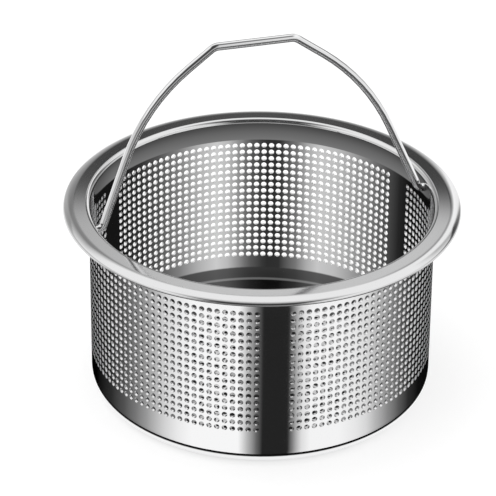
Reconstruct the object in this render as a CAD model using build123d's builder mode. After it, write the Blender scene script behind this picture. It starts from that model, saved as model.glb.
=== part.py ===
from build123d import *
from math import cos, degrees, pi, radians, sin, sqrt, tan
import os

# Sink strainer basket, drawn and punched from one sheet of stainless steel,
# with a bent wire bail that swings in two holes under the rim.
# The basket stands on z = 0, its axis is Z, and the bail's pivots lie along X.

# Sheet and drawn body
sheet = 0.5
body_diameter = 67.0
height = 40.0
corner_radius = 3.5

# Rim: a flared collar, a round bend, a sloping flange and a turned-down lip
rim_diameter = 77.0
collar_height = 4.4
collar_flare = 8.0
rim_bend = 1.0
flange_slope = 10.0
lip_bend = 0.9
lip_drop = 0.2

# A bend of the sheet is drawn in short straight steps of about this many degrees
bend_step = 35.0

# Punched wall: three panels of holes with a plain strip between each two
panels = 3
strip_angle = 18.2
strip_width = 6.5
hole_diameter = 1.1
hole_pitch = 1.5
top_margin = 1.35
bottom_margin = 8.75

# Punched bottom: rings of holes about one hole in the centre
ring_pitch = 1.5
bottom_border = 8.0

# The pattern is drawn coarse: one hole in this many along each row and column
pattern_step = 5

# Wire bail, measured from the pivots' axis
wire_diameter = 1.6
pivot_clearance = 0.1
pivot_drop = 1.9
bail_reach = 33.3
bail_top_half = 8.0
shoulder_half = 22.1
shoulder_height = 23.4
bail_lean = 10.6
top_bend = 2.5
bow_radius = 37.0
foot_bend = 1.4
foot_inset = 1.45
pin_reach = 1.2

# Radii and heights worked out from the sizes above
flare = radians(collar_flare)
slope = radians(flange_slope)
inner_radius = body_diameter / 2 - sheet
middle_radius = inner_radius + sheet / 2
rim_radius = rim_diameter / 2
collar_foot = height - collar_height
collar_top = height - rim_bend * (1 - sin(flare))
collar_top_radius = inner_radius + (collar_top - collar_foot) * tan(flare)
pivot_height = height - pivot_drop
pivot_radius = inner_radius + (pivot_height - collar_foot) * tan(flare)
collar_outside = pivot_radius + sheet / cos(flare)

# Centres of the three bends in the section
corner_centre = Vector(inner_radius - corner_radius, sheet + corner_radius)
rim_centre = Vector(collar_top_radius + rim_bend * cos(flare), height - rim_bend)
lip_run = rim_radius - lip_bend - rim_centre.X
lip_centre = rim_centre + Vector(lip_run, (rim_bend - lip_bend) / cos(slope) - lip_run * tan(slope))

# Spacing, rows and columns of the holes
spacing = hole_pitch * pattern_step
row_top = collar_foot - top_margin
rows = int((row_top - bottom_margin) / spacing) + 1
panel_arc = 2 * pi * middle_radius / panels - strip_width - hole_pitch
columns = int(panel_arc / spacing) + 1
panel_angle = degrees(spacing * (columns - 1) / middle_radius)
panel_start = strip_angle + (360 / panels - panel_angle) / 2
rings = int((inner_radius - bottom_border) / (ring_pitch * pattern_step))

# A hole is drawn square, with the area of the round one
hole_side = hole_diameter * sqrt(pi) / 2
punch_length = 3 * sheet


def bend(centre, radius, start, turn):
    """Points along a bend about its centre, from a start angle and through a turn in degrees."""
    arc = CenterArc(centre, radius, start, turn)
    steps = round(abs(turn) / bend_step)
    return [arc @ (step / steps) for step in range(steps + 1)]


def sheet_face(depth):
    """Section line that lies this deep in the sheet, under its inner and upper face."""
    return [
        Vector(0, sheet - depth),
        *bend(corner_centre, corner_radius + depth, -90, 90),
        Vector(inner_radius + depth, collar_foot - depth * tan(flare / 2)),
        *bend(rim_centre, rim_bend - depth, 180 - collar_flare, collar_flare - 90),
        *bend(lip_centre, lip_bend - depth, 90 - flange_slope, flange_slope - 90),
        lip_centre + Vector(lip_bend - depth, -lip_drop),
    ]


section_outline = [*sheet_face(0), *reversed(sheet_face(sheet))]

with BuildPart() as basket:
    with BuildSketch(Plane.XZ):
        with BuildLine():
            Polyline(*section_outline, close=True)
        make_face()
    revolve(axis=Axis.Z)
    with PolarLocations(0, panels, start_angle=panel_start):
        with PolarLocations(middle_radius, columns, angular_range=panel_angle, endpoint=True):
            with Locations(*[(0, 0, row_top - spacing * row) for row in range(rows)]):
                Box(punch_length, hole_side, hole_side, mode=Mode.SUBTRACT)
    with Locations((0, 0, sheet / 2)):
        Box(hole_side, hole_side, punch_length, mode=Mode.SUBTRACT)
        for ring in range(1, rings + 1):
            with PolarLocations(ring * ring_pitch * pattern_step, 6 * ring):
                Box(hole_side, hole_side, punch_length, mode=Mode.SUBTRACT)
    with Locations((0, 0, pivot_height)):
        Cylinder(wire_diameter / 2 + pivot_clearance, 2 * (collar_outside + sheet),
                 rotation=(0, 90, 0), mode=Mode.SUBTRACT)

# The bail's plane leans back about the pivots, and its outline starts at the left pin's tip
lean = radians(bail_lean)
bail_plane = Plane((0, 0, pivot_height), x_dir=(1, 0, 0), z_dir=(0, -cos(lean), sin(lean)))
foot_half = pivot_radius - foot_inset
pin_tip = collar_outside + pin_reach
right_side = [(bail_top_half, bail_reach), (shoulder_half, shoulder_height), (foot_half, 0), (pin_tip, 0)]
left_side = [(-across, up) for across, up in reversed(right_side)]
bends = [foot_bend, bow_radius, top_bend, top_bend, bow_radius, foot_bend]

with BuildPart() as bail:
    with BuildLine(bail_plane) as wire_line:
        FilletPolyline(*left_side, *right_side, radius=bends)
    with BuildSketch(Plane(wire_line.line @ 0, z_dir=wire_line.line % 0)):
        Circle(wire_diameter / 2)
    sweep()

os.makedirs("parts", exist_ok=True)
basket.part.label = "basket"
export_step(basket.part, "parts/basket.step")
bail.part.label = "bail"
export_step(bail.part, "parts/bail.step")
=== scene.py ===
from math import asin, atan2, cos, degrees, pi, radians, sin, tan

import bpy
import numpy as np
from mathutils import Matrix, Vector
from mathutils.geometry import delaunay_2d_cdt


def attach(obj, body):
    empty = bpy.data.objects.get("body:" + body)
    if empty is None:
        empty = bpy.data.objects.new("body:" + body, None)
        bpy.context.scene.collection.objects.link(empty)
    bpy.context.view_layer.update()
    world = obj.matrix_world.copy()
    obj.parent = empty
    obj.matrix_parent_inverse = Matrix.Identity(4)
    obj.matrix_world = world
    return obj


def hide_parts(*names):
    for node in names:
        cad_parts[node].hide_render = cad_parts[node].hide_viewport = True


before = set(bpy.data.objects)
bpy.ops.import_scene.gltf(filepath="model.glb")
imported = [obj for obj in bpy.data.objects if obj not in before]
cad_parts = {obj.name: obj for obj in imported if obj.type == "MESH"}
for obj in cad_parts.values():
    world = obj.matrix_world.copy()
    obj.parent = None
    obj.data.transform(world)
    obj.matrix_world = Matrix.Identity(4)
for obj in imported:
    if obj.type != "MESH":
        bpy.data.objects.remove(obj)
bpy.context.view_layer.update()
scene = bpy.context.scene
mm = 0.001

# ---------------------------------------------------------------- sizes, in millimetres
sheet = 0.5
inner_radius = 33.0
outer_radius = inner_radius + sheet
middle_radius = inner_radius + sheet / 2
height = 40.0
corner_radius = 3.5

rim_radius = 38.5
collar_foot = 35.6
flare = radians(3.0)
slope = radians(1.5)
rim_bend = 1.0
fall_bend = 4.4
fall_slope = radians(28.0)
lip_bend = 0.6

hole_radius = 0.55
hole_pitch = 1.5
hole_rows = 18
hole_columns = 43
panels = 3
strip_angle = 18.2
top_row = 34.25
floor_rings = 16

wire_radius = 0.8
tip_rounding = 0.35
pivot_height = 38.1
pivot_hole = 0.9
bail_lean = radians(10.6)
# The right half of the bail's outline, from its top to its pin, and the radius of each bend
bail_corners = [(8.0, 33.3), (22.1, 23.4), (31.9, 0.0), (35.05, 0.0)]
bail_bends = [2.5, 37.0, 1.4]

# Sides of a round hole in the wall, in the bottom and in the collar, and of the wire
wall_hole_sides = 12
floor_hole_sides = 8
pivot_hole_sides = 28
wire_sides = 24

# Places of the basket's finishes in its list of materials
outside, inside, cut_edge = 0, 1, 2

# The camera stands in front of the basket, turned by this much about Z from the bail's own axes
view_turn = radians(-16.5)


# ---------------------------------------------------------------- shader expressions
class Shade:
    """A socket of a node tree. Arithmetic on it adds Math nodes, and node() adds any other.

    node() takes a node's type, its settings and its sockets' values or links, where _0 stands for
    the first socket and Base_Color for the one of that name.
    """

    def __init__(self, tree, socket=None):
        self.tree = tree
        self.socket = socket

    def node(self, kind, settings=None, **values):
        made = self.tree.nodes.new("ShaderNode" + kind)
        for name, value in (settings or {}).items():
            if name == "stops":
                while len(made.color_ramp.elements) < len(value):
                    made.color_ramp.elements.new(0.5)
                for element, (place, tone) in zip(made.color_ramp.elements, value):
                    element.position = place
                    element.color = (tone, tone, tone, 1)
            else:
                setattr(made, name, value)
        for name, value in values.items():
            by_number = name[1:].isdigit()
            socket = made.inputs[int(name[1:]) if by_number else name.replace("_", " ")]
            if isinstance(value, Shade):
                self.tree.links.new(value.socket, socket)
            else:
                socket.default_value = value
        return made

    def out(self, made, name=0):
        return Shade(self.tree, made.outputs[name])

    def maths(self, operation, *terms):
        return self.out(self.node("Math", {"operation": operation},
                                  **{f"_{place}": term for place, term in enumerate(terms)}))

    def __add__(self, other):
        return self.maths("ADD", self, other)

    def __sub__(self, other):
        return self.maths("SUBTRACT", self, other)

    def __rsub__(self, other):
        return self.maths("SUBTRACT", other, self)

    def __mul__(self, other):
        return self.maths("MULTIPLY", self, other)

    __radd__ = __add__
    __rmul__ = __mul__

    def ramp(self, *stops):
        return self.out(self.node("ValToRGB", {"stops": stops}, _0=self))

    def lead(self, made, target):
        """Links the first outlet of one node to the first socket of another."""
        self.tree.links.new(made.outputs[0], target.inputs[0])


def material(name):
    made = bpy.data.materials.new(name)
    made.use_nodes = True
    made.node_tree.nodes.clear()
    tree = Shade(made.node_tree)
    return made, tree, tree.node("OutputMaterial")


def steel(name, tone, roughness):
    made, tree, output = material(name)
    bluish = tone * 1.005
    metal = tree.node("BsdfPrincipled", Base_Color=(tone, tone, bluish, 1), Metallic=1.0,
                      Roughness=roughness)
    tree.lead(metal, output)
    return made


# ---------------------------------------------------------------- surfaces with exact normals
def grid_faces(rows, columns):
    """Quads of a grid of points that are listed row by row."""
    start = (np.arange(rows - 1)[:, None] * columns + np.arange(columns - 1)[None, :]).ravel()
    return np.stack([start, start + 1, start + columns + 1, start + columns], 1)


def ring_faces(count):
    """Quads between two rings of points that follow each other in the list."""
    ring = np.arange(count)
    after = (ring + 1) % count
    return np.stack([ring, after, after + count, ring + count], 1)


def repeated(faces, points, copies):
    """The faces of one patch, for copies of it that have this many points each."""
    shift = points * np.arange(copies)[:, None, None]
    return (faces[None] + shift).reshape(-1, faces.shape[1])


class Surface:
    """Patches of one piece's surface. Each has its own vertices, with their exact normals."""

    def __init__(self):
        self.places = []
        self.normals = []
        self.faces = []
        self.finishes = []
        self.count = 0

    def add(self, places, normals, faces, finish=outside):
        """Adds one patch, and turns its faces to the side that its normals point to."""
        places = np.asarray(places, float).reshape(-1, 3)
        normals = np.asarray(normals, float).reshape(-1, 3)
        faces = np.asarray(faces)
        first = faces[0]
        turn = np.cross(places[first[1]] - places[first[0]], places[first[2]] - places[first[0]])
        if turn @ normals[first[0]] < 0:
            faces = faces[:, ::-1]
        self.places.append(places)
        self.normals.append(normals)
        self.faces += (faces + self.count).tolist()
        self.finishes += [finish] * len(faces)
        self.count += len(places)

    def grid(self, places, normals, finish=outside):
        """Adds a grid of quads from arrays of rows by columns."""
        self.add(places, normals, grid_faces(*places.shape[:2]), finish)

    def piece(self, name, *finishes):
        mesh = bpy.data.meshes.new(name)
        mesh.from_pydata((np.concatenate(self.places) * mm).tolist(), [], self.faces)
        mesh.shade_smooth()
        mesh.normals_split_custom_set_from_vertices(np.concatenate(self.normals).tolist())
        for finish in finishes:
            mesh.materials.append(finish)
        mesh.polygons.foreach_set("material_index", self.finishes)
        made = bpy.data.objects.new(name, mesh)
        scene.collection.objects.link(made)
        return made


def spin(profile, angles):
    """Places and normals of a section line turned about Z.

    Its points are (r, z, normal r, normal z).
    """
    r, z, across, up = np.asarray(profile, float).T[:, :, None]
    c, s = np.cos(angles)[None, :], np.sin(angles)[None, :]
    flat = np.ones_like(c)
    return np.stack([r * c, r * s, z * flat], 2), np.stack([across * c, across * s, up * flat], 2)


def arc_line(centre, radius, start, end, facing, steps):
    """Section points on a bend, with normals out of it for facing 1 and into it for facing -1."""
    turned = [(cos(turn), sin(turn)) for turn in np.linspace(start, end, steps + 1)]
    return [(centre[0] + radius * c, centre[1] + radius * s, facing * c, facing * s)
            for c, s in turned]


def straight_line(start, end, across, up):
    return [(*start, across, up), (*end, across, up)]


def pierced(outline, holes):
    """Points and triangles of a flat convex region with convex holes in it."""
    points = [*outline]
    owner = [-1] * len(outline)
    loops = [range(len(outline))]
    for number, hole in enumerate(holes):
        loops.append(range(len(points), len(points) + len(hole)))
        points += hole
        owner += [number] * len(hole)
    edges = [(loop[place - 1], loop[place]) for loop in loops for place in range(len(loop))]
    nearness = 1e-7
    found = delaunay_2d_cdt([Vector(point) for point in points], edges, [], 0, nearness)
    source = [origin[0] for origin in found[3]]
    triangles = [[source[corner] for corner in face] for face in found[2]]
    kept = [face for face in triangles
            if owner[face[0]] < 0 or len({owner[corner] for corner in face}) > 1]
    return np.array(points), np.array(kept), np.array(owner)


# ---------------------------------------------------------------- the basket
corner_centre = (inner_radius - corner_radius, sheet + corner_radius)
collar_top = height - rim_bend * (1 - sin(flare))
collar_top_radius = inner_radius + (collar_top - collar_foot) * tan(flare)
rim_centre = (collar_top_radius + rim_bend * cos(flare), height - rim_bend)
lip_offset = (fall_bend - lip_bend) * np.array([sin(fall_slope), cos(fall_slope)])
fall_run = rim_radius - lip_bend - lip_offset[0] - rim_centre[0]
fall_drop = (fall_bend - rim_bend) / cos(slope) + fall_run * tan(slope)
fall_centre = rim_centre + np.array([fall_run, -fall_drop])
lip_centre = fall_centre + lip_offset

column_turn = hole_pitch / middle_radius
strip_turn = 2 * pi / panels - hole_columns * column_turn
bottom_of_rows = top_row - (hole_rows - 0.5) * hole_pitch
top_of_rows = top_row + hole_pitch / 2

# Turns about Z at which every line round the basket has its points, in line with the columns
turns = []
panel_starts = []
strip_parts = 4
for panel in range(panels):
    strip_start = radians(strip_angle) + panel * 2 * pi / panels - strip_turn / 2
    turns += [strip_start + strip_turn * part / strip_parts for part in range(strip_parts)]
    panel_starts.append(strip_start + strip_turn)
    turns += [strip_start + strip_turn + column * column_turn for column in range(hole_columns)]
turns = np.array(turns + [turns[0] + 2 * pi])


def collar_radius(z, depth):
    """Radius of the flared collar at a height, on the face this deep in the sheet."""
    return inner_radius + (z - collar_foot) * tan(flare) + depth / cos(flare)


def round_hole(centre, radius, sides, start=0.0):
    return [(centre[0] + radius * cos(start + 2 * pi * side / sides),
             centre[1] + radius * sin(start + 2 * pi * side / sides)) for side in range(sides)]


def make_basket(*finishes):
    """The basket, with its finishes outside, inside and on the cut edges of the wall's holes."""
    basket = Surface()
    flange_end = pi / 2 - slope
    fall_end = pi / 2 - fall_slope
    # The last number of each bend is its count of steps
    upper_bend = arc_line(rim_centre, rim_bend, pi - flare, flange_end, 1, 14)
    lower_bend = arc_line(rim_centre, rim_bend - sheet, pi - flare, flange_end, -1, 6)
    upper_fall = arc_line(fall_centre, fall_bend, flange_end, fall_end, 1, 12)
    lower_fall = arc_line(fall_centre, fall_bend - sheet, flange_end, fall_end, -1, 6)
    upper_lip = arc_line(lip_centre, lip_bend, fall_end, 0, 1, 10)
    lower_lip = arc_line(lip_centre, lip_bend - sheet, fall_end, 0, -1, 4)
    foot = corner_centre[1]
    inner_lines = [
        arc_line(corner_centre, corner_radius, -pi / 2, 0, -1, 9),
        straight_line((inner_radius, foot), (inner_radius, bottom_of_rows), -1, 0),
        straight_line((inner_radius, top_of_rows), (inner_radius, collar_foot), -1, 0),
    ]
    outer_collar_foot = collar_foot - sheet * tan(flare / 2)
    outer_lines = [
        upper_bend,
        straight_line(upper_bend[-1][:2], upper_fall[0][:2], sin(slope), cos(slope)),
        upper_fall,
        upper_lip,
        straight_line(upper_lip[-1][:2], lower_lip[-1][:2], 0, -1),
        lower_lip,
        lower_fall,
        straight_line(lower_fall[0][:2], lower_bend[-1][:2], -sin(slope), -cos(slope)),
        lower_bend,
        straight_line((outer_radius, top_of_rows), (outer_radius, outer_collar_foot), 1, 0),
        straight_line((outer_radius, foot), (outer_radius, bottom_of_rows), 1, 0),
        arc_line(corner_centre, corner_radius + sheet, -pi / 2, 0, 1, 9),
    ]
    for finish, lines in ((outside, outer_lines), (inside, inner_lines)):
        for line in lines:
            basket.grid(*spin(line, turns), finish)
    punch_wall(basket)
    punch_collar(basket, 0)
    punch_collar(basket, sheet)
    punch_floor(basket)
    return basket.piece("punched_basket", *finishes)


def punch_wall(basket):
    """The punched panels: one cell of wall round each hole, and the plain strips between them."""
    half = hole_pitch / 2
    span = column_turn / 2 * middle_radius
    sides = wall_hole_sides
    outline = [(-span, -half), (span, -half), (span, half), (-span, half)]
    circle = round_hole((0, 0), hole_radius, sides, pi / sides)
    points, triangles, owner = pierced(outline, [circle])
    centres = np.array([(start + (column + 0.5) * column_turn, top_row - row * hole_pitch)
                        for start in panel_starts
                        for column in range(hole_columns)
                        for row in range(hole_rows)])
    hole = points[owner == 0]
    strip_edges = [bottom_of_rows + row * hole_pitch for row in range(hole_rows + 1)]
    for radius, facing, finish in ((outer_radius, 1, outside), (inner_radius, -1, inside)):
        # The hole keeps its size on this face, and the cell's edges keep to the columns' turns
        across = np.where(owner == 0, points[:, 0] / radius, points[:, 0] / middle_radius)
        turn = centres[:, :1] + across[None, :]
        rise = centres[:, 1:] + points[:, 1][None, :]
        out = np.stack([np.cos(turn), np.sin(turn), np.zeros_like(turn)], 2)
        places = out * radius
        places[:, :, 2] = rise
        basket.add(places, out * facing, repeated(triangles, len(points), len(centres)), finish)
        for start in panel_starts:
            strip = np.linspace(start - strip_turn, start, strip_parts + 1)
            basket.grid(*spin([(radius, z, facing, 0) for z in strip_edges], strip), finish)
    rings, leans = [], []
    for radius in (outer_radius, inner_radius):
        turn = centres[:, :1] + hole[:, 0][None, :] / radius
        rise = centres[:, 1:] + hole[:, 1][None, :]
        rings.append(np.stack([radius * np.cos(turn), radius * np.sin(turn), rise], 2))
        side = -hole[:, 0][None, :] / hole_radius
        leans.append(np.stack([-np.sin(turn) * side, np.cos(turn) * side,
                               np.repeat(-hole[None, :, 1] / hole_radius, len(centres), 0)], 2))
    faces = repeated(ring_faces(sides), 2 * sides, len(centres))
    basket.add(np.concatenate(rings, 1), np.concatenate(leans, 1), faces, cut_edge)


def punch_collar(basket, depth):
    """One face of the flared collar, with the two holes that carry the bail."""
    finish, facing = (inside, 1) if depth == 0 else (outside, -1)
    clear_of_hole = 1.3
    reach = degrees(clear_of_hole * pivot_hole / inner_radius)
    foot = collar_foot - depth * tan(flare / 2)
    end = rim_centre[1] + (rim_bend - depth) * sin(flare)
    across, up = -facing * cos(flare), facing * sin(flare)

    def point(turn, z):
        c, s = cos(turn), sin(turn)
        radius = collar_radius(z, depth)
        return (radius * c, radius * s, z), (across * c, across * s, up)

    around = np.degrees(turns)
    skipped = set()
    for pivot in (0.0, 180.0, 360.0):
        near = [place for place in range(len(around) - 1)
                if around[place + 1] > pivot - reach and around[place] < pivot + reach]
        if not near:
            continue
        skipped |= set(near)
        edge = [(turn - radians(pivot)) * inner_radius for turn in turns[near[0]:near[-1] + 2]]
        outline = [(x, foot) for x in edge] + [(x, end) for x in reversed(edge)]
        circle = round_hole((0, pivot_height), pivot_hole, pivot_hole_sides)
        hole = [(asin(y / collar_radius(z, depth)) * inner_radius, z) for y, z in circle]
        points, triangles, _ = pierced(outline, [hole])
        places, normals = zip(*[point(x / inner_radius + radians(pivot), z) for x, z in points])
        basket.add(places, normals, triangles, finish)
        if depth == 0:
            side = -1 if pivot == 180.0 else 1
            rings = [(side * (collar_radius(z, deep) ** 2 - y * y) ** 0.5, side * y, z)
                     for deep in (0, sheet) for y, z in circle]
            leans = [(0, -side * y / pivot_hole, (pivot_height - z) / pivot_hole)
                     for y, z in circle]
            basket.add(rings, leans + leans, ring_faces(pivot_hole_sides))
    start = (collar_radius(foot, depth), foot)
    line = straight_line(start, (collar_radius(end, depth), end), across, up)
    for place in range(len(turns) - 1):
        if place not in skipped:
            basket.grid(*spin(line, turns[place:place + 2]), finish)


def punch_floor(basket):
    """The flat bottom: rings of holes about one hole in the centre."""
    sides = floor_hole_sides
    flat_radius = corner_centre[0]
    rim = [(flat_radius * cos(turn), flat_radius * sin(turn)) for turn in turns[:-1]]
    middles = [(0.0, 0.0)]
    for ring in range(1, floor_rings + 1):
        for place in range(6 * ring):
            turn = 2 * pi * place / (6 * ring)
            middles.append((ring * hole_pitch * cos(turn), ring * hole_pitch * sin(turn)))
    holes = [round_hole(middle, hole_radius, sides, pi / sides) for middle in middles]
    points, triangles, _ = pierced(rim, holes)
    for z, facing, finish in ((sheet, 1, inside), (0.0, -1, outside)):
        level = np.full((len(points), 1), z)
        normals = np.tile((0, 0, facing), (len(points), 1))
        basket.add(np.concatenate([points, level], 1), normals, triangles, finish)
    circles = np.array(holes)
    level = np.ones((*circles.shape[:2], 1))
    rings = [np.concatenate([circles, level * z], 2) for z in (0.0, sheet)]
    lean = (np.array(middles)[:, None, :] - circles) / hole_radius
    lean = np.concatenate([lean, level * 0.0], 2)
    faces = repeated(ring_faces(sides), 2 * sides, len(middles))
    basket.add(np.concatenate(rings, 1), np.concatenate([lean, lean], 1), faces)


# ---------------------------------------------------------------- the bail
def bent_line(corners, bends):
    """Points and headings along a line of corners that are rounded to the given radii."""
    points = [(Vector(corners[0]), (Vector(corners[1]) - Vector(corners[0])).normalized())]
    step_angle = 4
    for before, corner, after, radius in zip(corners, corners[1:], corners[2:], bends):
        before, corner, after = Vector(before), Vector(corner), Vector(after)
        inward = (corner - before).normalized()
        onward = (after - corner).normalized()
        turn = atan2(inward.x * onward.y - inward.y * onward.x, inward.dot(onward))
        start = corner - inward * radius * tan(abs(turn) / 2)
        side = 1 if turn > 0 else -1
        centre = start + Vector((-inward.y, inward.x)) * side * radius
        steps = max(3, round(degrees(abs(turn)) / step_angle))
        for step in range(steps + 1):
            swing = Matrix.Rotation(turn * step / steps, 2)
            points.append((centre + swing @ (start - centre), swing @ inward))
    points.append((Vector(corners[-1]), (Vector(corners[-1]) - Vector(corners[-2])).normalized()))
    return points


def wire_stations():
    """Stations along the wire: its point and heading, its radius and the tilt of its normals."""
    corners = [(-x, y) for x, y in reversed(bail_corners)] + bail_corners
    line = bent_line(corners, bail_bends[::-1] + bail_bends)
    ends = []
    for tip, (point, heading) in ((-1, line[0]), (1, line[-1])):
        end = []
        for swing in np.linspace(0, pi / 2, 5):
            back = tip_rounding * (1 - sin(swing))
            radius = wire_radius - tip_rounding * (1 - cos(swing))
            end.append((point - heading * tip * back, heading, radius, tip * sin(swing)))
        ends.append(end)
    plain = [(point, heading, wire_radius, 0.0) for point, heading in line[1:-1]]
    return ends[0][::-1] + plain + ends[1]


def make_bail(finish):
    """The bail: a round wire along its bent line, closed by a flat on each rounded tip."""
    across = Vector((1, 0, 0))
    up = Vector((0, sin(bail_lean), cos(bail_lean)))
    out = across.cross(up)
    sides = wire_sides
    swings = [2 * pi * side / sides for side in range(sides + 1)]
    stations = wire_stations()
    bail = Surface()
    places, normals, ends = [], [], []
    for point, heading, radius, tilt in stations:
        centre = Vector((0, 0, pivot_height)) + across * point.x + up * point.y
        along = across * heading.x + up * heading.y
        inward = across * -heading.y + up * heading.x
        spokes = [inward * cos(swing) + out * sin(swing) for swing in swings]
        ring = [centre + spoke * radius for spoke in spokes]
        places += ring
        normals += [(spoke * (1 - tilt * tilt) ** 0.5 + along * tilt).normalized()
                    for spoke in spokes]
        ends.append((centre, ring[:-1], along))
    shape = (len(stations), sides + 1, 3)
    bail.grid(np.array(places).reshape(shape), np.array(normals).reshape(shape))
    fan = [(0, 1 + side, 1 + (side + 1) % sides) for side in range(sides)]
    for tip, (centre, ring, along) in ((-1, ends[0]), (1, ends[-1])):
        bail.add([centre, *ring], [along * tip] * (sides + 1), fan)
    return bail.piece("wire_bail", finish)


# Each steel's tone and roughness
basket_steel = steel("polished sheet steel", 0.80, 0.07)
# The inside is a darker copy of the sheet's steel: its lower tone is painted shade, and its lower
# roughness is its own polish
inside_steel_with_painted_shade = steel("polished inside with painted shade", 0.74, 0.05)
# The cut edges of the holes are paler than the sheet: that tone is a painted highlight, and their
# rougher finish is their own
sheared_steel_with_painted_highlight = steel("sheared edge with painted highlight", 0.97, 0.3)
wire_steel = steel("polished wire", 0.90, 0.06)

basket = make_basket(basket_steel, inside_steel_with_painted_shade, sheared_steel_with_painted_highlight)
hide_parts("basket")
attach(basket, "basket")

bail = make_bail(wire_steel)
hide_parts("bail")
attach(bail, "bail")


# ---------------------------------------------------------------- the studio
# Tones are linear, and the lists of them give turns in degrees. A sheet of cards is seen by
# polish alone: it stands for the dark and pale studio that the real polish mirrors.
def level_way(turn):
    """Level direction at a turn to the right of the line from the basket to the camera."""
    return np.array([sin(turn), -cos(turn)])


def in_studio(x, y, z):
    """A place given in the photograph's axes, in metres."""
    c, s = cos(view_turn), sin(view_turn)
    return (x * c - y * s, x * s + y * c, z)


def stage_piece(name, places, faces, finish, tones=None):
    mesh = bpy.data.meshes.new(name)
    mesh.from_pydata(places, [], faces)
    if tones is not None:
        layer = mesh.attributes.new("tone", "FLOAT", "POINT")
        layer.data.foreach_set("value", tones)
    mesh.materials.append(finish)
    made = bpy.data.objects.new(name, mesh)
    scene.collection.objects.link(made)
    return made


# What the open floor mirrors, as (metres behind the basket, tone)
floor_tones = [(-0.10, 0.10), (-0.05, 0.25), (0.0, 0.62), (0.03, 0.9), (0.20, 1.0)]
# The floor's own grey, which takes the basket's shadow, and the glow that lifts it to white
floor_grey = 0.45
floor_glow = 0.62
floor_reach = 6.0
# Heights over the floor, in metres, of the shade under the basket and of the sheets of cards
shade_height = 0.0001
card_height = 0.0002
foot_card_height = 0.0003


def floor_finish():
    made, tree, output = material("white studio floor")
    matt = tree.node("BsdfDiffuse", Color=(floor_grey, floor_grey, floor_grey, 1))
    lit = tree.node("Emission", Color=(1, 1, 1, 1), Strength=floor_glow)
    shown = tree.node("AddShader", _0=tree.out(matt), _1=tree.out(lit))
    place = tree.node("SeparateXYZ", _0=tree.out(tree.node("NewGeometry"), "Position"))
    behind = tree.out(place, 0) * -sin(view_turn) + tree.out(place, 1) * cos(view_turn)
    # The ramp runs from a quarter of a metre in front to a quarter of a metre behind
    tone = (behind * 2.0 + 0.5).ramp(*[(0.5 + 2.0 * far, tone) for far, tone in floor_tones])
    mirrored = tree.node("Emission", Color=(1, 1, 1, 1), Strength=tone)
    by_polish = tree.out(tree.node("LightPath"), "Is Glossy Ray")
    both = tree.node("MixShader", _0=by_polish, _1=tree.out(shown), _2=tree.out(mirrored))
    tree.lead(both, output)
    return made


def card_finish():
    made, tree, output = material("studio cards")
    tone = tree.out(tree.node("Attribute", {"attribute_name": "tone"}), "Fac")
    tree.lead(tree.node("Emission", Color=(1, 1, 1, 1), Strength=tone), output)
    return made


cards = card_finish()


def round_points(radius, z, step):
    """Points about Z at a radius in millimetres and a height in metres, this many degrees apart."""
    return [(radius * mm * cos(turn), radius * mm * sin(turn), z)
            for turn in np.radians(np.arange(0, 360, step))]


def lay_floor():
    sides = ((-1, -1), (1, -1), (1, 1), (-1, 1))
    corners = [in_studio(x * floor_reach, y * floor_reach, 0.0) for x, y in sides]
    stage_piece("studio_floor", corners, [(0, 1, 2, 3)], floor_finish())
    # The floor under the basket's flat bottom is in its shade
    shade_tone = 0.02
    ring = round_points(corner_centre[0], shade_height, 5)
    shade = stage_piece("shaded_floor", ring, [tuple(range(len(ring)))], cards,
                        [shade_tone] * len(ring))
    shade.visible_shadow = False


def lay_sheet(name, places, tones, rows):
    """A sheet of cards with a tone at each of its points, which are listed row by row."""
    faces = grid_faces(rows, len(places) // rows).tolist()
    laid = stage_piece(name, places, faces, cards, tones)
    laid.visible_camera = False
    laid.visible_diffuse = False
    laid.visible_shadow = False
    laid.visible_transmission = False


# What the wall mirrors on the floor, as (turn from the front, tone)
wall_tones = [
    (-90, 0.0), (-74, 0.0), (-68, 0.01), (-60, 0.03), (-52, 0.10), (-46, 0.22), (-41, 0.38),
    (-37, 0.58), (-33, 0.80), (-28, 1.02), (-23, 1.15), (-7, 1.15), (-4, 0.58), (-1, 0.16),
    (1, 0.02), (9.4, 0.02), (11, 0.27), (14, 0.90), (17, 1.12), (27, 1.12), (34, 0.98),
    (38, 0.84), (42, 0.58), (48, 0.30), (54, 0.12), (60, 0.03), (68, 0.005), (90, 0.0)]
floor_card_reach = 0.062


def lay_cards():
    """Cards on the floor that the wall mirrors, each strip along the way its mirror image runs."""
    start = outer_radius * mm
    across = np.radians(np.arange(-90, 90.01, 0.5))
    steps = np.linspace(0, floor_card_reach, 10)
    places, values = [], []
    for turn, tone in zip(across, np.interp(np.degrees(across), *zip(*wall_tones))):
        for step in steps:
            x, y = start * level_way(turn) + step * level_way(2 * turn)
            places.append(in_studio(x, y, card_height))
            values.append(tone)
    lay_sheet("floor_cards", places, values, len(across))


# What the rounded corner mirrors on the floor, as (radius in millimetres, tone)
foot_tones = [(29.6, 0.0), (31.0, 0.02), (31.6, 1.0), (33.3, 1.1), (33.8, 0.01), (35.1, 0.0)]


def ring_foot():
    """A ring of cards on the floor, which the rounded corner mirrors."""
    places, values = [], []
    for radius, tone in foot_tones:
        ring = round_points(radius, foot_card_height, 4)
        places += ring + ring[:1]
        values += [tone] * (len(ring) + 1)
    lay_sheet("foot_cards", places, values, len(foot_tones))


# What the inside of the wall mirrors, as (turn to the right of the far side, tone)
inside_tones = [
    (-96, 0.005), (-56, 0.01), (-46, 0.04), (-38, 0.12), (-30, 0.28), (-22, 0.60), (-16, 0.80),
    (-12, 0.66), (-9, 0.42), (-5, 0.15), (1, 0.035), (6, 0.04), (12, 0.24), (16, 0.55), (20, 0.76),
    (26, 0.68), (34, 0.42), (42, 0.21), (48, 0.09), (54, 0.025), (60, 0.005), (96, 0.005)]
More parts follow.
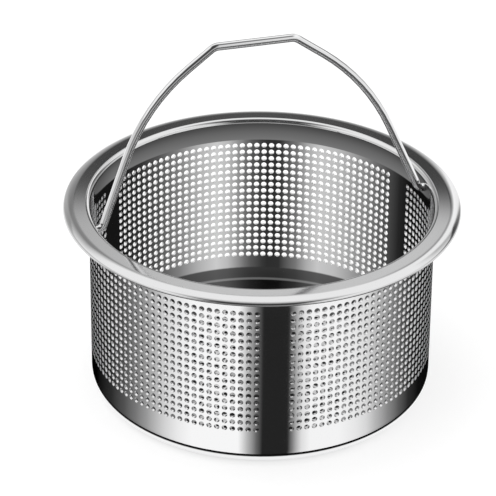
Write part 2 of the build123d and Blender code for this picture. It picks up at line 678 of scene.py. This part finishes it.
# Cards along the inside, from the foot of the corner to the rim: radius and height in
# millimetres, the share of the wall's tones and the tone that is added to it
inside_cards = [
    (30.2, 1.5, 0.15, 0.0), (31.0, 1.9, 0.15, 0.0), (31.84, 2.86, 0.15, 0.0),
    (31.88, 2.95, 0.2, 0.16), (31.92, 3.05, 0.2, 0.16), (31.95, 3.15, 0.12, 0.03),
    (32.1, 4.9, 0.12, 0.04), (32.1, 5.2, 1.0, 0.0), (32.1, 35.0, 1.0, 0.0),
    (32.1, 35.2, 0.0, 0.24), (32.1, 37.0, 0.0, 0.17), (32.2, 39.2, 0.0, 0.05)]
# The added tone fades between these turns, to this share of it
fade_turns = (60, 85)
fade_shares = (1.0, 0.15)


def line_inside():
    """Cards close along the far half of the inside, which the inside mirrors."""
    around = np.arange(-96, 97, 2)
    tones = np.interp(around, *zip(*inside_tones))
    ends = np.interp(abs(around), fade_turns, fade_shares)
    places, values = [], []
    for turn, tone, end in zip(np.radians(around), tones, ends):
        for radius, z, share, added in inside_cards:
            x, y = -radius * mm * level_way(-turn)
            places.append(in_studio(x, y, z * mm))
            values.append(share * tone + added * end)
    lay_sheet("inside_cards", places, values, len(around))


# What stands round the basket, as (turn to the right of the far side, tone), at the height
# that level steel shows, and below it
room_tones = [
    (-180, 0.05), (-150, 0.05), (-135, 0.95), (-45, 0.95), (-28, 0.50), (-20, 0.26),
    (-12, 0.28), (-6, 0.50), (-2, 0.66), (5, 0.68), (9, 0.44), (12, 0.32), (16, 1.0), (26, 1.0),
    (32, 0.5), (45, 0.9), (145, 0.95), (160, 0.05), (180, 0.05)]
low_tones = [
    (-180, 0.06), (-150, 0.06), (-130, 0.7), (-40, 0.5), (-30, 0.34), (-24, 0.38), (-20, 0.24),
    (-10, 0.24), (-5, 0.05), (8, 0.05), (14, 0.5), (17, 1.1), (25, 1.0), (28, 0.2), (31, 0.06),
    (50, 0.06), (80, 0.8), (145, 0.8), (160, 0.06), (180, 0.06)]

# The world's plain light, and the soft box over the basket's left front, in watts and metres
plain_light = 0.9
soft_box_power = 1.2
soft_box_size = 0.5
soft_box_place = (-0.15, -0.05, 0.6)


def room_finish(tree):
    """What polish mirrors in the room, by the way that a mirrored ray goes."""
    way = tree.node("SeparateXYZ", _0=tree.out(tree.node("TexCoord"), "Generated"))
    back = tree.out(way, 0) * -sin(view_turn) + tree.out(way, 1) * cos(view_turn)
    right = tree.out(way, 0) * cos(view_turn) + tree.out(way, 1) * sin(view_turn)
    rise = tree.out(way, 2)
    round_about = right.maths("ARCTAN2", right, back) * (0.5 / pi) + 0.5
    walls = round_about.ramp(*[(0.5 + turn / 360, tone) for turn, tone in room_tones])
    lower = round_about.ramp(*[(0.5 + turn / 360, tone) for turn, tone in low_tones])
    # Overhead it is white, with a black gap over the middle of the front
    gap = (back * 0.5 + 0.5).ramp((0.30, 0.95), (0.45, 0.88), (0.52, 0.72), (0.62, 0.0))
    aside = right.maths("ABSOLUTE", right)
    overhead = 1.0 - gap * aside.ramp((0.30, 1.0), (0.55, 0.0))
    # Three bands by height, and a glow along the horizon
    horizon = rise.ramp((0.0, 0.5), (0.45, 0.0))
    level = rise.ramp((0.475, 0.0), (0.495, 1.0))
    upper = rise.ramp((0.62, 0.0), (0.72, 1.0))
    below = lower + (1.0 - lower) * horizon
    mirrored = below + (walls - below) * level
    return mirrored + (overhead - mirrored) * upper


def light_room():
    world = bpy.data.worlds.new("studio")
    scene.world = world
    world.use_nodes = True
    world.node_tree.nodes.clear()
    tree = Shade(world.node_tree)
    path = tree.node("LightPath")
    plain = tree.node("Background", Color=(1, 1, 1, 1), Strength=plain_light)
    white = tree.node("Background", Color=(1, 1, 1, 1), Strength=1.0)
    mirrored = tree.node("Background", Color=(1, 1, 1, 1), Strength=room_finish(tree))
    lit = tree.node("MixShader", _0=tree.out(path, "Is Glossy Ray"), _1=tree.out(plain),
                    _2=tree.out(mirrored))
    both = tree.node("MixShader", _0=tree.out(path, "Is Camera Ray"), _1=tree.out(lit),
                     _2=tree.out(white))
    tree.lead(both, tree.node("OutputWorld"))
    lamp = bpy.data.lights.new("soft box", "AREA")
    lamp.energy = soft_box_power
    lamp.size = soft_box_size
    box = bpy.data.objects.new("soft box", lamp)
    box.location = in_studio(*soft_box_place)
    box.rotation_euler = Vector(box.location).to_track_quat("Z", "Y").to_euler()
    box.visible_glossy = False
    scene.collection.objects.link(box)


# The camera: its elevation and roll, its distance from a point on the basket's axis and that
# point's height, in metres, and the picture's side, focal length and optical centre in pixels
camera_rise = radians(30.729)
camera_roll = radians(-0.733)
camera_distance = 0.60425
aim_height = 0.020
picture = 496
focal_length = 3072.76
centre_across = 261.077
centre_down = 288.292
sensor = 36.0


def place_camera():
    back = Vector(in_studio(0, -cos(camera_rise), sin(camera_rise)))
    right = Vector(in_studio(1, 0, 0))
    up = back.cross(right)
    c, s = cos(camera_roll), sin(camera_roll)
    facing = Matrix((right * c - up * s, right * s + up * c, back)).transposed().to_4x4()
    lens = bpy.data.cameras.new("camera")
    lens.sensor_width = sensor
    lens.lens = focal_length / picture * sensor
    lens.shift_x = (picture / 2 - centre_across) / picture
    lens.shift_y = (centre_down - picture / 2) / picture
    lens.clip_start = 10 * mm
    camera = bpy.data.objects.new("camera", lens)
    place = Vector((0, 0, aim_height)) + back * camera_distance
    camera.matrix_world = Matrix.Translation(place) @ facing
    scene.collection.objects.link(camera)
    scene.camera = camera


lay_floor()
lay_cards()
ring_foot()
line_inside()
light_room()
place_camera()
scene.view_settings.view_transform = "Standard"
